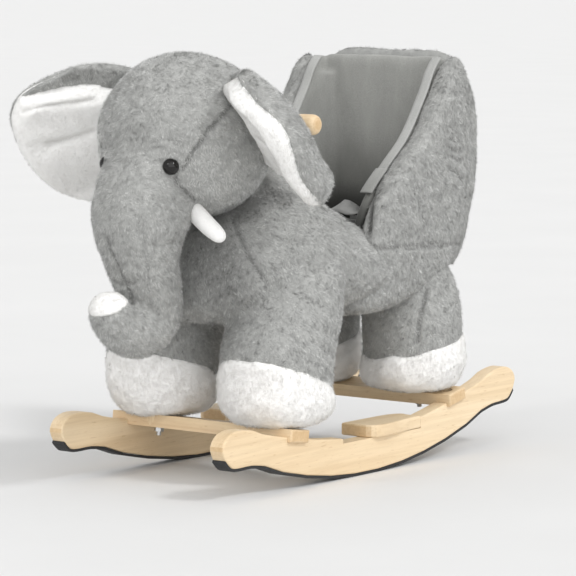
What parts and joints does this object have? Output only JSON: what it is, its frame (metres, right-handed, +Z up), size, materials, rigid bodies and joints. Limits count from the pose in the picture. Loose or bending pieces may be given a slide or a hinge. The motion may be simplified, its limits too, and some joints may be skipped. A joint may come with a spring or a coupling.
{
  "type": "rocking elephant",
  "caption": "Stuffed elephant with a bucket seat, lap belt and handle bar on a wooden rocking base, for a toddler.",
  "frame": {"origin": "on the floor under the middle of the whole toy", "axes": "+Z up, the elephant looks along -Y, its left side is +X"},
  "size_m": [0.4184, 0.6554, 0.5006],
  "materials": {
    "wood": "satin",
    "plywood": "matte",
    "rubber": "matte",
    "steel": "satin",
    "grey_plush": "matte",
    "white_fleece": "matte",
    "grey_lining": "matte",
    "satin_webbing": "satin",
    "eye_gloss": "gloss"
  },
  "bodies": {
    "root": {"runner_left": "wood", "grip_strip_left": "rubber", "stop_button_left": "rubber", "footrest_left": "wood", "runner_right": "wood", "grip_strip_right": "rubber", "stop_button_right": "rubber", "footrest_right": "wood", "front_crossbar": "wood", "rear_crossbar": "wood", "crossbar_screw_front_left": "steel", "leg_bolt_front_left": "steel", "leg_nut_front_left": "steel", "crossbar_screw_front_right": "steel", "leg_bolt_front_right": "steel", "leg_nut_front_right": "steel", "crossbar_screw_rear_left": "steel", "leg_bolt_rear_left": "steel", "leg_nut_rear_left": "steel", "crossbar_screw_rear_right": "steel", "leg_bolt_rear_right": "steel", "leg_nut_rear_right": "steel", "leg_post_front_left": "plywood", "leg_post_front_right": "plywood", "leg_post_rear_left": "plywood", "leg_post_rear_right": "plywood", "seat_board": "plywood", "head_board": "plywood", "back_board": "plywood", "handle_bar": "wood", "torso": "grey_plush", "head": "grey_plush", "trunk": "grey_plush", "trunk_tip": "white_fleece", "ear_left": "grey_plush", "ear_lining_left": "white_fleece", "eye_left": "eye_gloss", "tusk_left": "white_fleece", "ear_right": "grey_plush", "ear_lining_right": "white_fleece", "eye_right": "eye_gloss", "tusk_right": "white_fleece", "seat_tub": "grey_plush", "seat_back": "grey_plush", "seat_wing_left": "grey_plush", "seat_wing_right": "grey_plush", "seat_lining": "grey_lining", "seat_cushion": "grey_lining", "foot_front_left": "white_fleece", "leg_front_left": "grey_plush", "foot_front_right": "white_fleece", "leg_front_right": "grey_plush", "foot_rear_left": "white_fleece", "leg_rear_left": "grey_plush", "foot_rear_right": "white_fleece", "leg_rear_right": "grey_plush", "belt_left": "satin_webbing", "belt_right": "satin_webbing", "tail": "grey_plush"}
  },
  "joints": []
}
